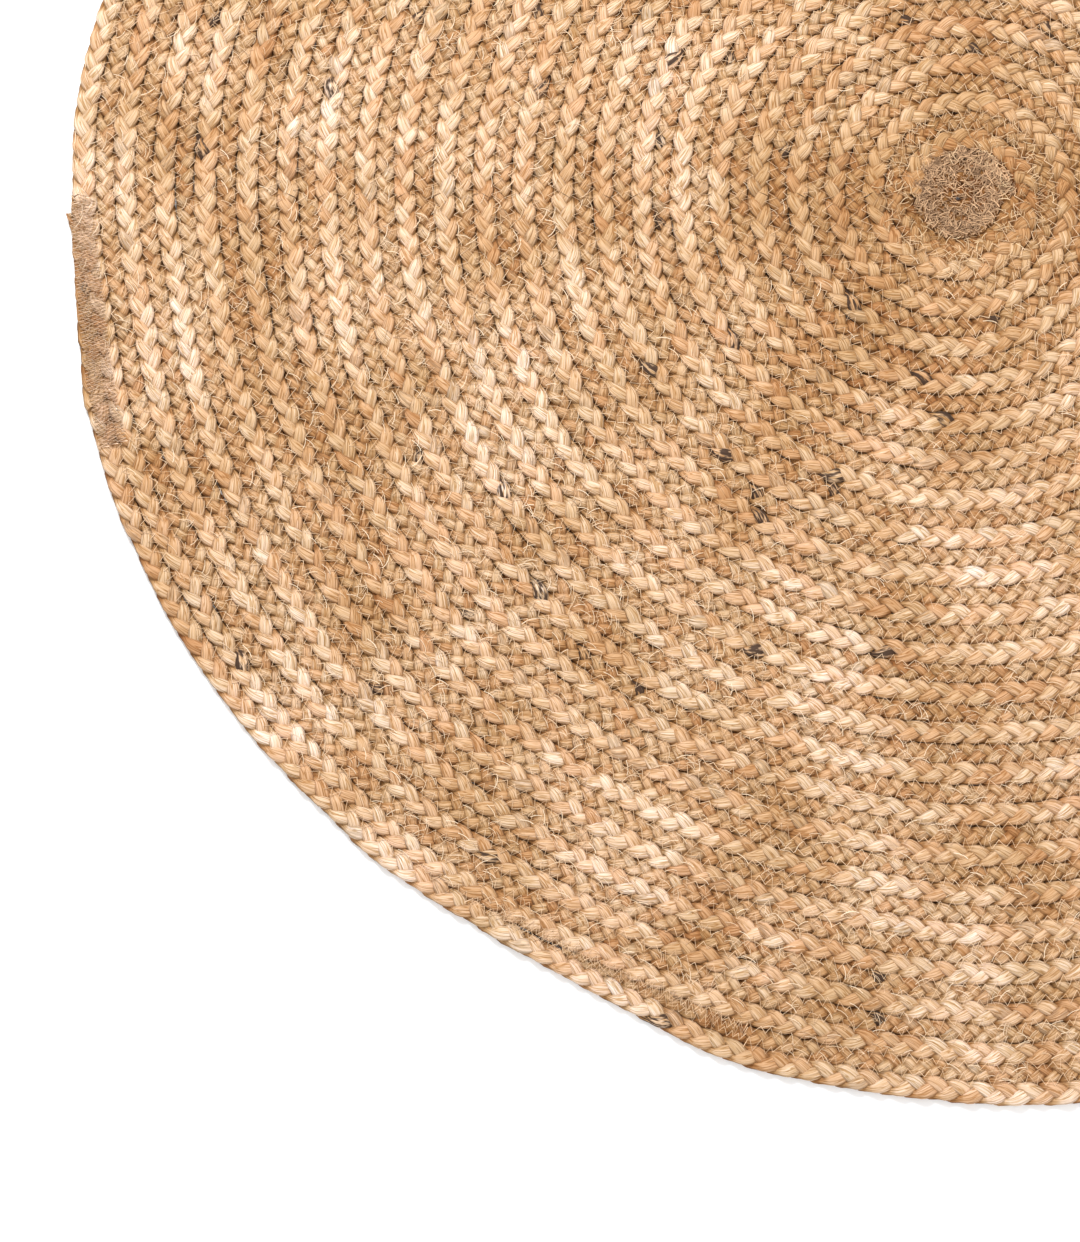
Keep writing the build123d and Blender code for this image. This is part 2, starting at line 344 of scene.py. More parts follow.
def plait_tree():
    """Three strands plaited along the spiral."""
    graph, given, result = new_tree("plait_on_spiral", "GeometryNodeTree", PLAIT_INPUTS,
        GEOMETRY_OUT)
    line = graph.add("GeometryNodeCurvePrimitiveLine").outputs[0]
    line = graph.add("GeometryNodeResampleCurve",
        {"Curve": line, "Count": given["Points"]}).outputs[0]
    copies = graph.add(
        "GeometryNodeDuplicateElements", {"Geometry": line, "Amount": 3}, domain="SPLINE"
    )
    kept = graph.tree.nodes.new("GeometryNodeCaptureAttribute")
    kept.capture_items.new("FLOAT", "Share")
    graph.feed(kept.inputs["Geometry"], copies.outputs[0])
    graph.feed(kept.inputs[1], graph.add("GeometryNodeSplineParameter").outputs["Factor"])
    share = kept.outputs[1]
    strand = copies.outputs["Duplicate Index"]

    along = on_spiral(graph, given, share, 0.0, 0.0)["Along"]
    rate = graph.calc("DIVIDE", TAU / 3, given["Leaf Length"])
    uneven = graph.calc("MULTIPLY", wander(graph, along, 9.0, given["Seed"]), given["Unevenness"])
    eased = graph.calc("EXPONENT", graph.calc("MULTIPLY", along, -crowding_fade))
    crowded = graph.calc("MULTIPLY_ADD", eased, -crowding, along)
    phase = graph.calc("MULTIPLY_ADD", crowded, rate, graph.calc("MULTIPLY", strand, TAU / 3))
    phase = graph.calc("MULTIPLY_ADD", uneven, 0.55, phase)
    twice = graph.calc("SINE", graph.calc("MULTIPLY", phase, 2.0))

    leaf = graph.calc("FLOOR", graph.calc("DIVIDE", graph.calc("ADD", phase, 0.35), math.pi))
    leaf = graph.calc("MULTIPLY_ADD", strand, 10007.0, leaf)
    chance = random_value(graph, 0.0, 1.0, leaf, 5)
    rusty = graph.calc("MULTIPLY", graph.calc("LESS_THAN", chance, rusty_share), rusty_depth)
    flecked = graph.calc("LESS_THAN", chance, bark_share)
    bark = graph.calc("MULTIPLY_ADD", flecked, 0.70, rusty)
    tone = random_value(graph, 0.0, 1.0, leaf, given["Seed"])
    plump = random_value(graph, 0.88, 1.12, leaf, graph.calc("ADD", given["Seed"], 31))
    spill = random_value(graph, -0.0007, 0.0007, leaf, graph.calc("ADD", given["Seed"], 77))
    rise = random_value(graph, -0.0005, 0.0005, leaf, graph.calc("ADD", given["Seed"], 113))

    narrowing = graph.blend(1.0, given["End Width"], share)
    sideways = graph.calc("SINE", phase)
    swing = graph.calc("MULTIPLY", sideways, given["Swing"])
    swing = graph.calc("MULTIPLY", graph.calc("ADD", swing, spill), narrowing)
    across = graph.calc("MULTIPLY_ADD", given["End Shift"], share, swing)
    lift = graph.calc("MULTIPLY", twice, given["Lift"])
    height = graph.calc("ADD", graph.calc("ADD", lift, given["Middle Height"]), rise)
    place = on_spiral(graph, given, share, across, height)["Place"]
    moved = graph.add("GeometryNodeSetPosition", {"Geometry": kept.outputs[0], "Position": place})
    upright = graph.add("GeometryNodeSetCurveNormal", {"Curve": moved.outputs[0]}, mode="Z_UP")

    fold = graph.calc("POWER", graph.calc("MULTIPLY", sideways, sideways), 3.0)
    swell = graph.calc("MULTIPLY_ADD", fold, -taper_at_folds, 1.0)
    swell = graph.calc("MULTIPLY", graph.calc("MULTIPLY", swell, plump), narrowing)
    ring = graph.add(
        "GeometryNodeCurvePrimitiveCircle", {"Resolution": given["Sides"], "Radius": 0.5}
    ).outputs[0]
    round_it = graph.tree.nodes.new("GeometryNodeCaptureAttribute")
    round_it.capture_items.new("FLOAT", "Turn")
    graph.feed(round_it.inputs["Geometry"], ring)
    graph.feed(round_it.inputs[1], graph.add("GeometryNodeSplineParameter").outputs["Factor"])
    flat = graph.vector(given["Strand Width"], given["Strand Thickness"], 1.0)
    section = graph.add("GeometryNodeTransform", {"Geometry": round_it.outputs[0], "Scale": flat})
    tube = graph.add(
        "GeometryNodeCurveToMesh",
        {
            "Curve": upright.outputs[0],
            "Profile Curve": section.outputs[0],
            "Scale": swell,
            "Fill Caps": True,
        },
    ).outputs[0]

    turn = graph.calc("MULTIPLY", round_it.outputs[1], TAU)
    side = graph.calc("MULTIPLY", graph.calc("COSINE", turn), 0.004)
    top = graph.calc("MULTIPLY", graph.calc("SINE", turn), 0.004)
    shifted = graph.calc("MULTIPLY_ADD", strand, 3.0, along)
    fibre = graph.vector(shifted, side, top)
    stretched = graph.add(
        "ShaderNodeVectorMath", {"Vector": fibre, "Vector_001": (90.0, 420.0, 420.0)},
        operation="MULTIPLY",
    ).outputs[0]
    grain = graph.add("ShaderNodeTexNoise", {"Vector": stretched, "Scale": 1.0, "Detail": 1.0})
    bulge = graph.calc("MULTIPLY", graph.calc("SUBTRACT", grain.outputs[0], 0.5), 0.0016)
    normal = graph.add("GeometryNodeInputNormal").outputs[0]
    push = graph.add(
        "ShaderNodeVectorMath", {"Vector": normal, "Scale": bulge}, operation="SCALE"
    ).outputs[0]
    tube = graph.add("GeometryNodeSetPosition", {"Geometry": tube, "Offset": push}).outputs[0]
    tube = store(graph, tube, "fibre", "FLOAT_VECTOR", fibre)
    tube = store(graph, tube, "tone", "FLOAT", tone)
    tube = store(graph, tube, "bark", "FLOAT", bark)
    position = graph.add("GeometryNodeInputPosition").outputs[0]
    east, north, up = graph.add("ShaderNodeSeparateXYZ", {"Vector": position}).outputs
    pressed = graph.calc("MULTIPLY_ADD", up, 1 / floor_softness, -1.0)
    pressed = graph.calc("EXPONENT", graph.calc("MINIMUM", pressed, 0.0))
    pressed = graph.calc("MULTIPLY", pressed, floor_softness)
    settled = graph.vector(east, north, graph.calc("MAXIMUM", up, pressed))
    tube = graph.add("GeometryNodeSetPosition", {"Geometry": tube, "Position": settled}).outputs[0]
    tube = graph.add("GeometryNodeSetShadeSmooth", {"Geometry": tube}).outputs[0]
    tube = graph.add("GeometryNodeRealizeInstances", {"Geometry": tube}).outputs[0]
    tube = graph.add("GeometryNodeSetMaterial", {"Geometry": tube, "Material": given["Material"]})
    graph.feed(result["Geometry"], tube.outputs[0])
    return graph.tree


plait_on_spiral = plait_tree()

# %% [markdown]
# ## Sewing
# A rug of this kind is sewn on a zigzag machine: the needle goes down first in one row and then in
# the next, so the thread crosses the seam at every stitch. It could be a bump in the jute's own
# finish, but thread stands proud of the groove, so it is a thin tube of its own. The same tree
# makes the dense overcasting on the tails, with a shorter step and a longer reach.

# %% The zigzag tree
ZIGZAG_INPUTS = SPIRAL_INPUTS + [
    ("Points", INT, 400),
    ("Reach", FLOAT, 0.003),
    ("Offset", FLOAT, 0.0),
    ("Height", FLOAT, 0.009),
    ("Thread Radius", FLOAT, 0.0004),
    ("Jitter", FLOAT, 0.3),
    ("End Shift", FLOAT, 0.0),
    ("End Reach", FLOAT, 1.0),
    ("Seed", INT, 0),
    ("Material", "NodeSocketMaterial", None),
]


def finish_thread(graph, result, geometry, material, domain="POINT"):
    """Thread's last steps: its tone, for each point or each copy, and its material."""
    key = graph.add("GeometryNodeInputIndex").outputs[0]
    tone = random_value(graph, 0.0, 1.0, key, 5)
    geometry = store(graph, geometry, "tone", "FLOAT", tone, domain)
    geometry = graph.add("GeometryNodeRealizeInstances", {"Geometry": geometry}).outputs[0]
    done = graph.add("GeometryNodeSetMaterial", {"Geometry": geometry, "Material": material})
    graph.feed(result["Geometry"], done.outputs[0])


def zigzag_tree():
    """One thread that crosses from side to side of a line on the spiral."""
    graph, given, result = new_tree("zigzag_on_spiral", "GeometryNodeTree", ZIGZAG_INPUTS,
        GEOMETRY_OUT)
    line = graph.add("GeometryNodeCurvePrimitiveLine").outputs[0]
    line = graph.add("GeometryNodeResampleCurve",
        {"Curve": line, "Count": given["Points"]}).outputs[0]
    parameter = graph.add("GeometryNodeSplineParameter")
    stitch = parameter.outputs["Index"]
    step = graph.calc("DIVIDE", 1.0, given["Points"])
    slip = random_value(graph, -0.4, 0.4, stitch, graph.calc("ADD", given["Seed"], 11))
    slip = graph.calc("MULTIPLY", graph.calc("MULTIPLY", slip, step), given["Jitter"])
    share = graph.calc("ADD", parameter.outputs["Factor"], slip)
    side = graph.calc("MULTIPLY_ADD", graph.calc("MODULO", stitch, 2.0), 2.0, -1.0)
    uneven = random_value(graph, -1.0, 1.0, stitch, given["Seed"])
    reach = graph.calc("MULTIPLY_ADD", graph.calc("MULTIPLY", uneven, given["Jitter"]), 0.6, 1.0)
    reach = graph.calc("MULTIPLY", graph.calc("MULTIPLY", reach, given["Reach"]), side)
    reach = graph.calc("MULTIPLY", reach, graph.blend(1.0, given["End Reach"], share))
    shift = graph.calc("MULTIPLY_ADD", given["End Shift"], share, given["Offset"])
    bob = random_value(graph, -0.0006, 0.0004, stitch, graph.calc("ADD", given["Seed"], 23))
    height = graph.calc("ADD", given["Height"], bob)
    place = on_spiral(graph, given, share, graph.calc("ADD", reach, shift), height)["Place"]
    moved = graph.add("GeometryNodeSetPosition", {"Geometry": line, "Position": place}).outputs[0]
    upright = graph.add("GeometryNodeSetCurveNormal", {"Curve": moved}, mode="Z_UP").outputs[0]
    ring = graph.add(
        "GeometryNodeCurvePrimitiveCircle", {"Resolution": 3, "Radius": given["Thread Radius"]}
    ).outputs[0]
    tube = graph.add(
        "GeometryNodeCurveToMesh", {"Curve": upright, "Profile Curve": ring, "Fill Caps": True}
    ).outputs[0]
    finish_thread(graph, result, tube, given["Material"])
    return graph.tree


zigzag_on_spiral = zigzag_tree()

# %% [markdown]
# ## Loose fibres
# Jute sheds: short stiff fibres stand out of the plaits, most of them along the row, and cut ends
# of thread lie over the sewn centre. Blender's hair could grow them, but it has to become a mesh
# before it can leave Blender. Here each is one bent three-sided hair, copied to random places.

# %% The loose fibre tree
FIBRE_INPUTS = SPIRAL_INPUTS + [
    ("Count", INT, 1000),
    ("Spread", FLOAT, 0.008),
    ("Low", FLOAT, 0.008),
    ("High", FLOAT, 0.0105),
    ("Length", FLOAT, 0.014),
    ("Fibre Radius", FLOAT, 0.00022),
    ("Turned", FLOAT, 0.6),
    ("Outward", FLOAT, 1.0),
    ("Seed", INT, 0),
    ("Material", "NodeSocketMaterial", None),
]


def fibre_tree():
    """Bent hairs scattered over a band of the spiral."""
    graph, given, result = new_tree("loose_fibres", "GeometryNodeTree", FIBRE_INPUTS, GEOMETRY_OUT)
    points = graph.add("GeometryNodeMeshLine", {"Count": given["Count"]}).outputs[0]
    key = graph.add("GeometryNodeInputIndex").outputs[0]

    def chance(low, high, salt):
        return random_value(graph, low, high, key, graph.calc("ADD", given["Seed"], salt))

    across = graph.calc("MULTIPLY", chance(-1.0, 1.0, 1), given["Spread"])
    height = graph.blend(given["Low"], given["High"], chance(0.0, 1.0, 2))
    share = graph.calc("POWER", chance(0.0, 1.0, 3), given["Outward"])
    spot = on_spiral(graph, given, share, across, height)
    moved = graph.add("GeometryNodeSetPosition", {"Geometry": points, "Position": spot["Place"]})
    heading = graph.calc("MULTIPLY_ADD", chance(-1.0, 1.0, 4), given["Turned"], spot["Heading"])
    heading = graph.calc("ADD", heading, math.pi / 2)
    tilt = chance(-0.10, 0.10, 5)
    turned = graph.add(
        "FunctionNodeEulerToRotation", {"Euler": graph.vector(chance(-0.6, 0.6, 6), tilt, heading)}
    )
    bow = graph.add(
        "GeometryNodeCurveQuadraticBezier",
        {"Resolution": 2, "Start": (-0.5, 0, 0), "Middle": (0.1, 0.2, 0.04), "End": (0.5, 0, 0)},
    ).outputs[0]
    slim = graph.calc("DIVIDE", given["Fibre Radius"], given["Length"])
    ring = graph.add("GeometryNodeCurvePrimitiveCircle",
        {"Resolution": 3, "Radius": slim}).outputs[0]
    hair = graph.add(
        "GeometryNodeCurveToMesh", {"Curve": bow, "Profile Curve": ring, "Fill Caps": True}
    ).outputs[0]
    size = graph.calc("MULTIPLY", given["Length"], chance(0.5, 1.3, 7))
    copies = graph.add(
        "GeometryNodeInstanceOnPoints",
        {
            "Points": moved.outputs[0],
            "Instance": hair,
            "Rotation": turned.outputs[0],
            "Scale": graph.vector(size, size, size),
        },
    ).outputs[0]
    finish_thread(graph, result, copies, given["Material"], "INSTANCE")
    return graph.tree


loose_fibres = fibre_tree()

# %% [markdown]
# ## Jute
# Retted jute is a bundle of pale, slightly glossy fibres. Strands differ: most are sandy tan, some
# cream, some rusty, and a few keep dark bark. The colour of each leaf comes from its own random
# tone on the mesh; streaks along the strand come from noise stretched along the fibre direction, and
# the sides of the strands and the low parts of the rug are darkened as painted shade. An image could
# be wrapped round the strands, but it would repeat, and blur when seen close.

# %% Jute's tones, from rusty through sandy tan to cream
jute_tones = [
    (0.00, (0.67, 0.425, 0.285)),
    (0.15, (0.76, 0.530, 0.395)),
    (0.42, (0.83, 0.645, 0.540)),
    (0.75, (0.86, 0.722, 0.650)),
    (1.00, (0.86, 0.752, 0.715)),
]
bark_color = (0.045, 0.022, 0.012)
print("tones of jute", len(jute_tones))


# %% The shared shader group: tone and streaks of jute
def jute_group():
    """Colour, roughness and height of jute, from the tone and the fibre direction."""
    inputs = [
        ("Tone", FLOAT, 0.5),
        ("Bark", FLOAT, 0.0),
        ("Fibre", "NodeSocketVector", None),
        ("Rise", FLOAT, 0.01),
        ("Shade", FLOAT, 1.0),
    ]
    outputs = [("Color", "NodeSocketColor"), ("Roughness", FLOAT), ("Height", FLOAT)]
    graph, given, result = new_tree("jute_fibres", "ShaderNodeTree", inputs, outputs)

    def stretched_noise(scale, detail):
        """Noise along and across the strand at its own scale each way."""
        place = graph.add(
            "ShaderNodeVectorMath", {"Vector": given["Fibre"], "Vector_001": scale},
            operation="MULTIPLY"
        ).outputs[0]
        noise = graph.add("ShaderNodeTexNoise", {"Vector": place, "Scale": 1.0, "Detail": detail})
        return noise.outputs[0]

    coarse = stretched_noise((42.0, 480.0, 480.0), 1.0)
    fine = stretched_noise((80.0, 1500.0, 1500.0), 2.0)
    slow = stretched_noise((7.0, 40.0, 40.0), 1.0)
    batch = stretched_noise((2.1, 0.0, 0.0), 1.0)
    mixed = graph.calc("MULTIPLY_ADD", graph.calc("SUBTRACT", slow, 0.5), 0.45, given["Tone"])
    mixed = graph.calc("MULTIPLY_ADD", graph.calc("SUBTRACT", mixed, 0.5), 0.72, 0.5)
    mixed = graph.calc("MULTIPLY_ADD", graph.calc("SUBTRACT", batch, 0.5), 1.05, mixed)
    palette = graph.tree.nodes.new("ShaderNodeValToRGB")
    ramp = palette.color_ramp.elements
    while len(ramp) < len(jute_tones):
        ramp.new(0.5)
    for element, (position, color) in zip(ramp, jute_tones):
        element.position = position
        element.color = (*color, 1)
    graph.feed(palette.inputs[0], mixed)

    gap = graph.calc("ABSOLUTE", graph.calc("SUBTRACT", coarse, 0.5))
    groove = graph.ranged(gap, 0.0, 0.05, 0.62, 1.0)
    streak = graph.ranged(fine, 0.30, 0.70, 0.78, 1.18)
    # Painted shade: strands are darker down their sides and low in the rug, where their neighbours
    # shade them, but not on the rug's underside.
    crest = graph.add("ShaderNodeSeparateXYZ", {"Vector": given["Fibre"]}).outputs[2]
    painted_flank_shade = graph.ranged(crest, -1.0 * MM, 2.8 * MM, 0.73, 1.0)
    painted_depth_shade = graph.ranged(given["Rise"], 3.5 * MM, 7.5 * MM, 0.48, 1.0)
    shade = graph.calc("MULTIPLY", graph.calc("MULTIPLY", groove, streak), given["Shade"])
    below = graph.ranged(crest, -1.0 * MM, -3.4 * MM)
    near = graph.ranged(given["Rise"], 3.6 * MM, 1.8 * MM)
    painted_crevice_shade = graph.blend(graph.calc("MULTIPLY", painted_flank_shade, painted_depth_shade), 0.94,
        graph.calc("MULTIPLY", below, near))
    shade = graph.calc("MULTIPLY", painted_crevice_shade, shade)
    # Darker parts, the painted shade among them, lose more green and blue than red.
    tint = graph.vector(shade, graph.calc("POWER", shade, 1.52), graph.calc("POWER", shade, 2.5))
    color = graph.add(
        "ShaderNodeMix", {"Factor_Float": 1.0, "A_Color": palette.outputs[0], "B_Color": tint},
        data_type="RGBA", blend_type="MULTIPLY",
    ).outputs[2]
    patch = graph.ranged(stretched_noise((120.0, 520.0, 520.0), 2.0), 0.41, 0.54)
    barked = graph.add(
        "ShaderNodeMix",
        {
            "Factor_Float": graph.calc("MULTIPLY", given["Bark"], patch),
            "A_Color": color,
            "B_Color": (*bark_color, 1),
        },
        data_type="RGBA",
    ).outputs[2]
    graph.feed(result["Color"], barked)
    graph.feed(result["Roughness"], graph.calc("MULTIPLY_ADD", fine, 0.3, 0.5))
    relief = graph.calc("MULTIPLY_ADD", groove, 0.8, graph.calc("MULTIPLY", fine, 0.6))
    graph.feed(result["Height"], relief)
    return graph.tree


jute_fibres = jute_group()


# %% The materials
def jute_material(name, shade, bump):
    """Jute in strands, darkened by a given share, and darker towards the centre of the rug."""
    material = bpy.data.materials.new(name)
    material.use_nodes = True
    graph = Graph(material.node_tree)
    shader = material.node_tree.nodes["Principled BSDF"]
    jute = material.node_tree.nodes.new("ShaderNodeGroup")
    jute.node_tree = jute_fibres
    tone = graph.add("ShaderNodeAttribute", attribute_name="tone")
    fibre = graph.add("ShaderNodeAttribute", attribute_name="fibre")
    graph.feed(jute.inputs["Tone"], tone.outputs["Fac"])
    graph.feed(jute.inputs["Fibre"], fibre.outputs["Vector"])
    bark = graph.add("ShaderNodeAttribute", attribute_name="bark")
    graph.feed(jute.inputs["Bark"], bark.outputs["Fac"])
    place = graph.add("ShaderNodeTexCoord").outputs["Object"]
    distance = graph.add("ShaderNodeVectorMath", {"Vector": place},
        operation="LENGTH").outputs["Value"]
    rise = graph.add("ShaderNodeSeparateXYZ", {"Vector": place}).outputs[2]
    graph.feed(jute.inputs["Rise"], rise)
    # Darker towards the middle of the rug.
    darker_to_centre = graph.ranged(distance, 0.03, 0.24, 0.72 * shade, shade)
    faded = graph.add("ShaderNodeTexNoise",
        {"Vector": place, "Scale": 9.0, "Detail": 2.0}).outputs[0]
    faded = graph.ranged(faded, 0.3, 0.7, 0.78, 1.20)
    graph.feed(jute.inputs["Shade"], graph.calc("MULTIPLY", darker_to_centre, faded))
    relief = graph.add(
        "ShaderNodeBump", {"Height": jute.outputs["Height"], "Strength": bump, "Distance": 0.0012}
    )
    graph.feed(shader.inputs["Base Color"], jute.outputs["Color"])
    graph.feed(shader.inputs["Roughness"], jute.outputs["Roughness"])
    graph.feed(shader.inputs["Normal"], relief.outputs[0])
    shader.inputs["Specular IOR Level"].default_value = 0.22
    shader.inputs["Sheen Weight"].default_value = 0.03
    shader.inputs["Sheen Roughness"].default_value = 0.5
    return material


def thread_material(name, low, high):
    """Twisted sewing thread or a loose fibre, with its colour varying from piece to piece."""
    material = bpy.data.materials.new(name)
    material.use_nodes = True
    graph = Graph(material.node_tree)
    shader = material.node_tree.nodes["Principled BSDF"]
    tone = graph.add("ShaderNodeAttribute", attribute_name="tone")
    color = graph.add(
        "ShaderNodeMix",
        {"Factor_Float": tone.outputs["Fac"], "A_Color": (*low, 1), "B_Color": (*high, 1)},
        data_type="RGBA",
    )
    graph.feed(shader.inputs["Base Color"], color.outputs[2])
    shader.inputs["Roughness"].default_value = 0.65
    shader.inputs["Specular IOR Level"].default_value = 0.3
    return material


thick_jute = jute_material("thick_jute", 1.0, 0.9)
fine_jute = jute_material("fine_jute", 0.90, 1.0)
# The tails' jute is darker as painted shade in the gaps between their overcast stitches.
painted_shade_tail_jute = jute_material("painted_shade_tail_jute", 0.80, 1.0)
# The coil under the centre's threads is darker as painted shade between those threads.
core_jute = jute_material("core_jute", 0.70, 1.0)
tail_jute = thread_material("tail_thread", (0.72, 0.48, 0.32), (0.90, 0.68, 0.50))
thread_jute = thread_material("thread_jute", (0.64, 0.40, 0.22), (0.90, 0.67, 0.45))
fibre_jute = thread_material("fibre_jute", (0.62, 0.41, 0.23), (0.93, 0.76, 0.56))
center_jute = thread_material("center_thread", (0.18, 0.095, 0.046), (0.73, 0.465, 0.265))
fuzz_jute = thread_material("center_fuzz", (0.42, 0.25, 0.12), (0.84, 0.62, 0.38))
print("materials", sorted(material.name for material in bpy.data.materials))


# %% [markdown]
# ## Making the pieces
# Every piece is an empty mesh with one of the trees on it. The tree is run once, its mesh is kept,
# and the modifier goes, so a piece is a plain mesh that replaces its node of the frame. The
# modifier could stay on, but a plain mesh is the same in every program that reads it.

# %% From a tree to a finished piece
def grow_piece(name, tree, values, nodes):
    """Run a tree with these inputs and keep the result as a piece that replaces these nodes."""
    maker = bpy.data.objects.new(name, bpy.data.meshes.new(name))
    bpy.context.scene.collection.objects.link(maker)
    modifier = maker.modifiers.new("tree", "NODES")
    modifier.node_group = tree
    for item in tree.interface.items_tree:
        if item.in_out == "INPUT" and item.name in values:
            modifier[item.identifier] = values[item.name]
    evaluated = maker.evaluated_get(bpy.context.evaluated_depsgraph_get())
    mesh = bpy.data.meshes.new_from_object(evaluated)
    maker.modifiers.clear()
    maker.data = mesh
    mesh.name = name
    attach(maker, "root")
    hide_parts(*nodes)
    return maker


def spiral_length(start_radius, winding):
    """Length along the spiral from the thick plait's start to a winding angle."""
    return start_radius * winding + turn_growth / (2 * TAU) * winding**2


def stretch_length(start_radius, start, span):
    """Length of a stretch of the spiral."""
    return spiral_length(start_radius, start + span) - spiral_length(start_radius, start)


# %% [markdown]
# ## The turns of both plaits
# The thick plait stands proud, with long smooth leaves; the fine one has shorter leaves and lies a
# little lower, so bold and quiet rows alternate across the rug. A plait could be one long piece,
# but a turn at a time keeps each piece light, and all the turns follow one formula, so that they
# meet without a step.

# %% Two kinds of plait
thick_plait = {
    "Start Radius": thick_start_radius,
    "Leaf Length": 0.0190,
    "Swing": 0.0060,
    "Lift": 0.0026,
    "Middle Height": thick_height / 2,
    "Strand Width": 0.0114,
    "Strand Thickness": 0.0048,
    "Turn In": turn_in,
    "Sides": 8,
    "Material": thick_jute,
}
fine_plait = {
    "Start Radius": fine_start_radius,
    "Leaf Length": 0.0138,
    "Swing": 0.0053,
    "Lift": 0.0021,
    "Middle Height": fine_height / 2,
    "Strand Width": 0.0102,
    "Strand Thickness": 0.0042,
    "Turn In": 0.0,
    "Sides": 6,
    "Unevenness": 1.3,
    "Material": fine_jute,
}
print("leaves are", thick_plait["Leaf Length"], "and", fine_plait["Leaf Length"], "m long")


# %% A stretch of plait as a piece
def plait_piece(name, kind, start, span, slot, seed, **changes):
    """One stretch of a plait as a piece, with enough points for its leaves."""
    length = stretch_length(kind["Start Radius"], start, span)
    points_per_leaf = 6 if kind is thick_plait else 4.3
    points = int(length / kind["Leaf Length"] * points_per_leaf) + 2
    values = {**kind, "Start Winding": start, "Span": span, "Points": points, "Seed": seed,
        **changes}
    return grow_piece(name, plait_on_spiral, values, [name])


# %% Plait every turn
faces = 0
for turn in range(turn_count):
    name = f"thick_braid_turn_{turn + 1:02d}"
    span = TAU - (thick_tail_span if turn == turn_count - 1 else 0)
    piece = plait_piece(name, thick_plait, TAU * turn, span, "thick_braid", 11)
    faces += len(piece.data.polygons)
for turn in range(turn_count):
    name = f"fine_braid_turn_{turn + 1:02d}"
    start = math.pi + TAU * turn
    span = TAU if turn < turn_count - 1 else closing_start - start
    piece = plait_piece(name, fine_plait, start, span, "fine_braid", 12)
    faces += len(piece.data.polygons)
print("faces in the turns", faces)

# %% [markdown]
# ## The two tails
# A plait can't be cut and left, because it would come undone. The maker flattens its end, tapers it
# against the row before and sews it over and over with a close zigzag. A flat patch could stand for
# the stitches, but passes of thread side by side catch the light as sewing does.

# %% The flattened tails
thick_tail_start = thick_end - thick_tail_span
plait_piece(
    "thick_braid_tail", thick_plait, thick_tail_start, thick_tail_span, "thick_braid", 13,
    **{"Lift": 0.0012, "Middle Height": 0.0056, "Strand Thickness": 0.0040, "Strand Width": 0.0120,
       "End Width": 0.50, "End Shift": -0.0118, "Material": painted_shade_tail_jute},
)
plait_piece(
    "fine_braid_tail", fine_plait, closing_start, fine_tail_span, "fine_braid", 14,
    **{"Lift": 0.0012, "Middle Height": 0.0048, "Strand Thickness": 0.0038, "Strand Width": 0.0125,
       "End Width": 0.5, "End Shift": -0.0036, "Material": painted_shade_tail_jute},
)


# %% The overcasting that holds them
def overcast(name, start_radius, start, span, step, passes, seed, **changes):
    """Zigzag stitches over a tail, in passes side by side.

    Each pass has its offset across the row at either end, and its share of the tail's length.
    """
    for run, (first, last, share) in enumerate(passes):
        points = int(stretch_length(start_radius, start, span * share) / step)
        values = {
            "Start Radius": start_radius, "Start Winding": start, "Span": span * share,
            "Points": points,
            "Offset": first, "End Shift": (last - first) * share, "Seed": seed + run, **changes,
        }
        label = name if run == 0 else f"{name}_{run + 1}"
        grow_piece(label, zigzag_on_spiral, values, [name])


overcast(
    "thick_tail_stitching", thick_start_radius, thick_tail_start - 0.05, thick_tail_span + 0.05,
    0.0016,
    [(-0.0122, -0.0222, 0.985), (-0.0045, -0.0158, 1.0), (0.0032, -0.0098, 0.965)], 21,
    **{"Turn In": turn_in, "Reach": 0.0043, "End Reach": 0.86, "Height": 0.0104, "Jitter": 0.22,
       "Thread Radius": 0.00060, "Material": tail_jute},
)
overcast(
    "fine_tail_stitching", fine_start_radius, closing_start, math.radians(20), 0.0030,
    [(0.004, -0.006, 1.0), (-0.001, -0.011, 0.9), (-0.005, -0.015, 0.95)], 31,
    **{"Reach": 0.0042, "End Reach": 0.8, "Height": 0.0100, "Jitter": 0.9, "Thread Radius": 0.00042,
       "Material": thread_jute},
)

# %% The folded end of the thick plait, which sticks out from under its stitches
fold_start = thick_end - math.radians(2.9)
fold = {**thick_plait, "Start Radius": thick_start_radius - 0.0098, "Start Winding": fold_start,
        "Span": math.radians(1.7), "Points": 16, "Swing": 0.0030, "Lift": 0.0010,
        "Middle Height": 0.0050,
        "Strand Width": 0.0070, "Strand Thickness": 0.0044, "End Width": 0.45, "End Shift": 0.0068,
        "Leaf Length": 0.0130, "Seed": 16}
grow_piece("thick_braid_tail_fold", plait_on_spiral, fold, ["thick_braid_tail"])
print("stitches lie over the thick plait's last", round(math.degrees(thick_tail_span)), "degrees")

# %% [markdown]
# ## The seams
# Two seams run the whole way out, one along each plait's outer edge. On top the needle thread
# zigzags over the groove; below, the bobbin thread lies in it. Stitches could be copies of one
# small object, but a seam is sewn with a single thread, so here it is a single tube.

